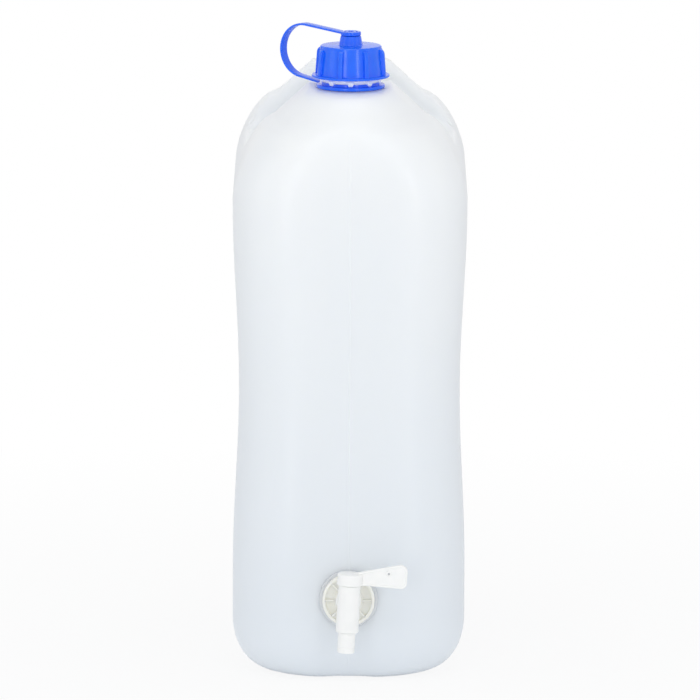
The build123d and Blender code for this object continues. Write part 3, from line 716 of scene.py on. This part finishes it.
strap_bearing = radians(145.0)  # to the left and back, from +X
strap_way = np.array([cos(strap_bearing), sin(strap_bearing), 0.0])
strap_reach, loop_radius, loop_level = 61.2, 19.6, 463.4
strap_half_width, strap_half_thickness, strap_round = 3.75, 0.75, 0.45
loop_centre = np.array([strap_reach - loop_radius, loop_level])
strap_start = np.array([(ring_bore + ring_radius) / 2, (ring_bottom + ring_top) / 2])
strap_stop = np.array([(eyelet_bore + eyelet_radius) / 2, (eyelet_low + eyelet_top) / 2])


def tangent_angle(point, side):
    """Angle on the loop where a line from the point touches it: its bearing plus or minus the
    angle whose cosine is the loop's radius over the point's distance."""
    away = point - loop_centre
    return np.arctan2(away[1], away[0]) + side * acos(loop_radius / np.hypot(*away))


def strap_surface():
    """Strap: a flat section with rounded edges, carried from the ring straight to the loop, round
    it and straight to the eyelet, in the upright plane of the strap's direction."""
    lower, upper = tangent_angle(strap_start, 1), tangent_angle(strap_stop, -1)
    bend = np.linspace(lower if lower < upper else lower - 2 * pi, upper, 70)
    arc = loop_centre + loop_radius * np.stack([np.cos(bend), np.sin(bend)], axis=-1)
    share = np.linspace(0.0, 1.0, 16)[:-1, None]
    route = np.vstack([strap_start + (arc[0] - strap_start) * share, arc,
                       arc[-1] + (strap_stop - arc[-1]) * (share + share[1])])
    heading = np.gradient(route, axis=0)
    heading /= np.linalg.norm(heading, axis=1)[:, None]
    normal = np.stack([-heading[:, 1], heading[:, 0]], axis=-1)
    wide, thick = strap_half_width, strap_half_thickness
    section = rounded_outline([(-wide, -thick), (wide, -thick), (wide, thick), (-wide, thick)],
                              [strap_round] * 4, 4)
    flat = route[:, None, :] + normal[:, None, :] * section[None, :, 1:2]
    flat[..., 1] = np.minimum(flat[..., 1], tether_top)
    sideways = np.cross(strap_way, (0.0, 0.0, 1.0))
    return (neck_origin + flat[..., 0:1] * strap_way + flat[..., 1:2] * np.array([0.0, 0.0, 1.0])
            + section[None, :, 0:1] * sideways)


strap_points = strap_surface()
strap = make_piece("tether_strap", strap_points, capped_grid(strap_points), None, blue,
                   "blue_plastic")
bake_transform(strap)

# ---------------------------------------------------------------- tap bushing
collar_back, collar_front = seat_rise + 1.5, seat_rise + 1.5 + 4.6
collar_bore, shank_radius, skirt_bore, collar_radius = 7.2, 12.2, 18.75, 19.4
groove_inner, groove_outer, groove_depth = 10.6, 17.1, 1.7  # round groove in the front face
groove_floor, skirt_end = collar_front - groove_depth, seat_rise + 0.3
collar = lathe(rounded_outline(
    [(collar_bore, shank_end), (shank_radius, shank_end), (shank_radius, collar_back),
     (skirt_bore, collar_back), (skirt_bore, skirt_end), (collar_radius, skirt_end),
     (collar_radius, collar_front), (groove_outer, collar_front), (groove_outer, groove_floor),
     (groove_inner, groove_floor), (groove_inner, collar_front), (collar_bore, collar_front)],
    [0.3, 0.6, 0, 0, 0.15, 0.2, 0.9, 0.5, 0.4, 0.4, 0.5, 0.3]), full_turn(144))
collar_piece = grid_piece("tap_bushing", put(collar, port_origin, *front_axes), "container",
                          natural, "natural_bushing", closed_along=True)
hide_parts("tap_collar")
rib_half, rib_low, rib_high = 0.7, collar_front - 2.2, collar_front - 0.1
rib_section = rounded_outline(
    [(-rib_half, rib_low), (rib_half, rib_low), (rib_half, rib_high), (-rib_half, rib_high)],
    [0, 0, 0.35, 0.35], 4)
rib_inner, rib_outer, bushing_rib_count = 10.3, 17.4, 8  # across the groove, into both its walls
rib_run = np.linspace(rib_inner, rib_outer, 8)
bushing_rib = np.stack([np.repeat(rib_run[:, None], len(rib_section), axis=1),
                        np.repeat(rib_section[None, :, 0], len(rib_run), axis=0),
                        np.repeat(rib_section[None, :, 1], len(rib_run), axis=0)], axis=-1)
bushing_rib_angles = np.arange(bushing_rib_count) * 2 * pi / bushing_rib_count
rib_points, rib_faces = repeated(bushing_rib, bushing_rib_angles)
make_piece("tap_bushing_ribs", put(rib_points, port_origin, *front_axes), rib_faces,
           "container", natural, "natural_bushing")

# ---------------------------------------------------------------- tap body
tap_up = -tap_down
tap_across = np.array([tap_up[2], 0.0, -tap_up[0]])
tap_origin = np.array([0.0, tube_y, tap_level])
tap_axes = (tap_across, (0.0, 1.0, 0.0), tap_up)
tube_bore, tube_foot, tube_head = 6.48, 8.4, 8.1  # radii
tube_low, tube_high = -19.3, 15.8
tube = lathe(rounded_outline(
    [(tube_bore, tube_low), (tube_foot, tube_low), (tube_head, tube_high), (tube_bore, tube_high)],
    [0.3, 0.7, 0.7, 0.3]), full_turn(96))
tube_piece = grid_piece("tap_tube", put(tube, tap_origin, *tap_axes), "container", white,
                        "white_plastic", closed_along=True)
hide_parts("tap_body")


stem_bore, stem_radius, stem_flange, flange_front = 4.2, 7.1, 9.4, collar_front + 2.2
tube_seat = 7.4  # the stem's end lies on a cylinder of this radius, inside the tube's wall


def stem_surface():
    """Stem: a turned profile about the outward axis. Its outer end follows the tube, at the depth
    standoff minus the square root of seat radius squared minus x squared."""
    standoff = front_y - tube_y
    profile = rounded_outline(
        [(stem_bore, shank_end), (stem_radius, shank_end), (stem_radius, collar_front),
         (stem_flange, collar_front), (stem_flange, flange_front), (stem_radius, flange_front),
         (stem_radius, standoff), (stem_bore, standoff)], [0.3, 0.5, 0, 0.2, 0.7, 0.6, 0, 0], 5)
    points = lathe(profile, full_turn(96))
    aside = np.clip(points[..., 0], 0.01 - tube_seat, tube_seat - 0.01)
    seat = standoff - np.sqrt(tube_seat**2 - aside**2)
    outer = profile[:, 1] > standoff - 1.0
    points[..., 2] = np.where(outer[:, None], seat, points[..., 2])
    return points


grid_piece("tap_stem", put(stem_surface(), port_origin, *front_axes), "container", white,
           "white_plastic", closed_along=True)

# ---------------------------------------------------------------- turning plug, lever and nozzle
plug_radius, plug_bore, hub_radius = 6.4, 4.2, 9.3
bore_end, nozzle_end, hub_low, hub_top = 4.2, -34.9, 16.1, 24.6
line_low, line_high, line_depth = nozzle_end + 3.6, nozzle_end + 4.1, 0.3  # line round the nozzle
line_middle = nozzle_end + 3.85
snap_radius, snap_low, snap_flat, snap_high = 6.95, -20.7, -20.2, -19.6  # bead under the tube
plug = lathe(rounded_outline(
    [(0.0, bore_end), (plug_bore, bore_end), (plug_bore, nozzle_end), (plug_radius, nozzle_end),
     (plug_radius, line_low), (plug_radius - line_depth, line_middle), (plug_radius, line_high),
     (plug_radius, snap_low), (snap_radius, snap_flat), (snap_radius, snap_high),
     (plug_radius, snap_high), (plug_radius, hub_low), (hub_radius, hub_low),
     (hub_radius, hub_top), (0.0, hub_top)],
    [0, 0.5, 0.5, 0.7, 0.15, 0, 0.15, 0, 0.2, 0.2, 0, 0, 0.4, 1.5, 0]), full_turn(96))
plug_piece = grid_piece("tap_plug_and_nozzle", put(plug, tap_origin, *tap_axes), "plug", white,
                        "white_plastic")
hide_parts("tap_plug")


def inset_outline(corners, roundings, inset, steps=5):
    """Outline with every edge moved inwards by the inset and met anew, rounded by what is left."""
    corners = np.asarray(corners, float)
    run = np.roll(corners, -1, axis=0) - corners
    run /= np.linalg.norm(run, axis=1)[:, None]
    inwards = np.stack([-run[:, 1], run[:, 0]], axis=-1)
    before = np.roll(inwards, 1, axis=0)
    bisector = before + inwards
    moved = corners + inset * 2 * bisector / (np.sum(bisector**2, axis=1)[:, None])
    return rounded_outline(moved, [max(r - inset, 0.05) if r else 0 for r in roundings], steps)


lever_low, lever_root, lever_tip = 16.5, 2.0, 42.2  # level, and runs outwards from the plug's axis
lever_corners = [(lever_root, lever_low), (lever_tip, lever_low - 1.45),
                 (lever_tip, lever_low + 17.9), (hub_radius, lever_low + 10.1),
                 (lever_root, lever_low + 8.3)]
lever_rounding = [0, 4.4, 5.2, 0, 0]
web_half, rim_round = 1.1, 0.6  # half the web's thickness, and the rim's rounding


def lever_surface():
    """Lever: rings of its outline, drawn in step by step. Half thickness against inset: up the
    rounded outer edge, over the rim's crown and down to the thin web, mirrored to the far side."""
    edge = np.linspace(0.0, pi / 2, 5)
    inset = np.concatenate([rim_round - rim_round * np.cos(edge), [1.2, 1.45, 1.7, 1.9, 2.3]])
    half = np.concatenate([web_half + rim_round * np.sin(edge), [1.7, 1.6, 1.2, 1.1, 1.1]])
    rings = np.stack([inset_outline(lever_corners, lever_rounding, k, 9) for k in inset])
    middle = np.repeat(rings[-1:].mean(axis=1, keepdims=True), rings.shape[1], axis=1)
    rings = np.concatenate([rings, middle])
    half = np.append(half, web_half)[:, None] * np.ones(rings.shape[1])
    front = np.stack([rings[..., 0], -half, rings[..., 1]], axis=-1)
    back = np.stack([rings[..., 0], half, rings[..., 1]], axis=-1)
    return np.concatenate([front[::-1], back])


grid_piece("tap_lever", put(lever_surface(), tap_origin, *tap_axes), "plug", white,
           "white_plastic")
mark_bore, mark_radius, mark_height, mark_sunk = 0.9, 2.2, 0.9, 0.3
mark_across, mark_up = 28.4, 26.0  # the mark's place on the lever
mark = lathe(rounded_outline(
    [(mark_bore, -mark_sunk), (mark_radius, -mark_sunk), (mark_radius, mark_height),
     (mark_bore, mark_height)], [0, 0, 0.5, 0.25]), full_turn(48))
mark_origin = (tap_origin + mark_across * tap_across + mark_up * tap_up
               + np.array([0.0, -web_half, 0.0]))
mark_axes = (tap_across, tap_up, (0.0, -1.0, 0.0))
grid_piece("lever_moulding_mark", put(mark, mark_origin, *mark_axes), "plug", white,
           "white_plastic", closed_along=True)

# painted shade inside the ring: a low darker disc, its rim drawn in by a chamfer, stands in for
# the shade in the hole
hole_shade_radius = np.array([1.05, 1.05, 0.8])[:, None]
hole_shade_height = np.array([-mark_sunk, 0.15, 0.3])[:, None]
hole_shade_turn = full_turn(36)[None, :]
hole_shade_disc = np.stack([hole_shade_radius * np.cos(hole_shade_turn), hole_shade_radius * np.sin(hole_shade_turn),
                 hole_shade_height + 0 * hole_shade_turn], axis=-1)
make_piece("lever_mark_painted_hole_shade", put(hole_shade_disc, mark_origin, *mark_axes), capped_grid(hole_shade_disc), "plug",
           hole_shade_plastic, "white_plastic")

# ---------------------------------------------------------------- floor, light and camera
floor_mesh = bpy.data.meshes.new("floor")
floor_mesh.from_pydata([(-9, -12, 0), (9, -12, 0), (9, 14, 0), (-9, 14, 0)], [], [(0, 1, 2, 3)])
floor = bpy.data.objects.new("floor", floor_mesh)
bpy.context.scene.collection.objects.link(floor)

floor_material = bpy.data.materials.new("pale_studio_floor")
floor_material.use_nodes = True
floor_tree = floor_material.node_tree
floor_tree.nodes.clear()
plain_white = (1.0, 1.0, 1.0, 1.0)
path = add_node(floor_tree, "ShaderNodeLightPath")
to_camera = path.outputs["Is Camera Ray"]
# the shadow stays near the object, and further out the floor is plain white
floor_place = add_node(floor_tree, "ShaderNodeTexCoord")
floor_reach = add_node(floor_tree, "ShaderNodeVectorMath", {"operation": "LENGTH"},
                       Vector=floor_place.outputs["Object"])
floor_fade = add_node(floor_tree, "ShaderNodeMapRange",
                      {"From Min": 0.15, "From Max": 0.9, "To Min": 0.88, "To Max": 1.0},
                      Value=floor_reach.outputs["Value"])
seen = add_node(floor_tree, "ShaderNodeMath", {"operation": "MULTIPLY"},
                {0: to_camera, 1: floor_fade.outputs["Result"]})
floor_coat = add_node(floor_tree, "ShaderNodeBsdfDiffuse", {"Color": linear("#F0F1F2")})
floor_white = add_node(floor_tree, "ShaderNodeEmission", {"Color": plain_white, "Strength": 1.0})
floor_mix = add_node(floor_tree, "ShaderNodeMixShader", (),
                     {1: floor_coat.outputs[0], 2: floor_white.outputs[0]}, Fac=seen.outputs[0])
# the lit sweep under and around the object lights the base, and adds nothing to its own picture
sweep_light = 0.18
not_seen = add_node(floor_tree, "ShaderNodeMath", {"operation": "SUBTRACT", 0: 1.0},
                    {1: to_camera})
floor_level = add_node(floor_tree, "ShaderNodeMath", {"operation": "MULTIPLY", 1: sweep_light},
                       {0: not_seen.outputs[0]})
floor_lit = add_node(floor_tree, "ShaderNodeEmission", {"Color": plain_white},
                     Strength=floor_level.outputs[0])
floor_sum = add_node(floor_tree, "ShaderNodeAddShader", (),
                     {0: floor_mix.outputs[0], 1: floor_lit.outputs[0]})
add_node(floor_tree, "ShaderNodeOutputMaterial", Surface=floor_sum.outputs[0])
floor_mesh.materials.append(floor_material)

world = bpy.data.worlds.new("studio")
bpy.context.scene.world = world
world.use_nodes = True
sky = world.node_tree
sky.nodes.clear()
sky_path = add_node(sky, "ShaderNodeLightPath")
sky_seen = add_node(sky, "ShaderNodeMath", {"operation": "MAXIMUM"},
                    {0: sky_path.outputs["Is Camera Ray"],
                     1: sky_path.outputs["Is Transmission Ray"]})
sky_any = add_node(sky, "ShaderNodeMath", {"operation": "MAXIMUM"},
                   {0: sky_seen.outputs[0], 1: sky_path.outputs["Is Glossy Ray"]})
sky_lit = add_node(sky, "ShaderNodeBackground", {"Color": linear("#FCFDFF"), "Strength": 0.66})
sky_white = add_node(sky, "ShaderNodeBackground", {"Color": plain_white, "Strength": 1.0})
sky_mix = add_node(sky, "ShaderNodeMixShader", (),
                   {1: sky_lit.outputs[0], 2: sky_white.outputs[0]}, Fac=sky_any.outputs[0])
add_node(sky, "ShaderNodeOutputWorld", Surface=sky_mix.outputs[0])


def softbox(name, place, aim, width, height, power):
    """Area lamp at a place, facing an aim point; metres and watts."""
    lamp = bpy.data.lights.new(name, "AREA")
    lamp.shape = "RECTANGLE"
    lamp.size, lamp.size_y, lamp.energy = width, height, power
    box = bpy.data.objects.new(name, lamp)
    bpy.context.scene.collection.objects.link(box)
    box.location = place
    box.rotation_mode = "QUATERNION"
    box.rotation_quaternion = (Vector(aim) - Vector(place)).to_track_quat("-Z", "Y")
    return box


middle = (0.0, 0.0, 0.22)
softbox("high_front_softbox", (0.0, -1.0, 1.15), (0.0, -0.1, 0.3), 0.9, 0.5, 1.5)
softbox("overhead_softbox", (0.0, 0.0, 1.6), middle, 0.8, 0.8, 2.2)
softbox("left_strip", (-0.83, -2.4, 0.55), middle, 0.26, 1.3, 5.2)
softbox("right_strip", (1.04, -2.33, 0.55), middle, 0.26, 1.3, 5.2)
softbox("left_panel", (-2.3, -0.9, 0.6), middle, 0.9, 1.6, 3.0)
softbox("right_panel", (2.3, -0.9, 0.6), middle, 0.9, 1.6, 2.0)

camera_distance = 7.6  # metres
camera_elevation = radians(9.3)
camera_roll = radians(0.24)
frame_width = 700
scale_at_target = 1329.5  # pixels of the frame for each metre at the target
target = Vector((0.0, 0.0, 0.24))
target_x, target_y = 349.6, 335.8  # where the target lies in the frame, in pixels

lens = bpy.data.cameras.new("camera")
camera = bpy.data.objects.new("camera", lens)
bpy.context.scene.collection.objects.link(camera)
bpy.context.scene.camera = camera
back = Vector((0.0, -cos(camera_elevation), sin(camera_elevation)))
camera.location = target + back * camera_distance
camera.rotation_mode = "QUATERNION"
facing = (-back).to_track_quat("-Z", "Y")
camera.rotation_quaternion = facing @ Matrix.Rotation(camera_roll, 3, "Z").to_quaternion()
lens.sensor_width = 36.0
lens.lens = scale_at_target * camera_distance * lens.sensor_width / frame_width
lens.shift_x = (frame_width / 2 - target_x) / frame_width
lens.shift_y = (target_y - frame_width / 2) / frame_width
lens.clip_start, lens.clip_end = 0.1, 100.0

bpy.context.scene.view_settings.view_transform = "Standard"
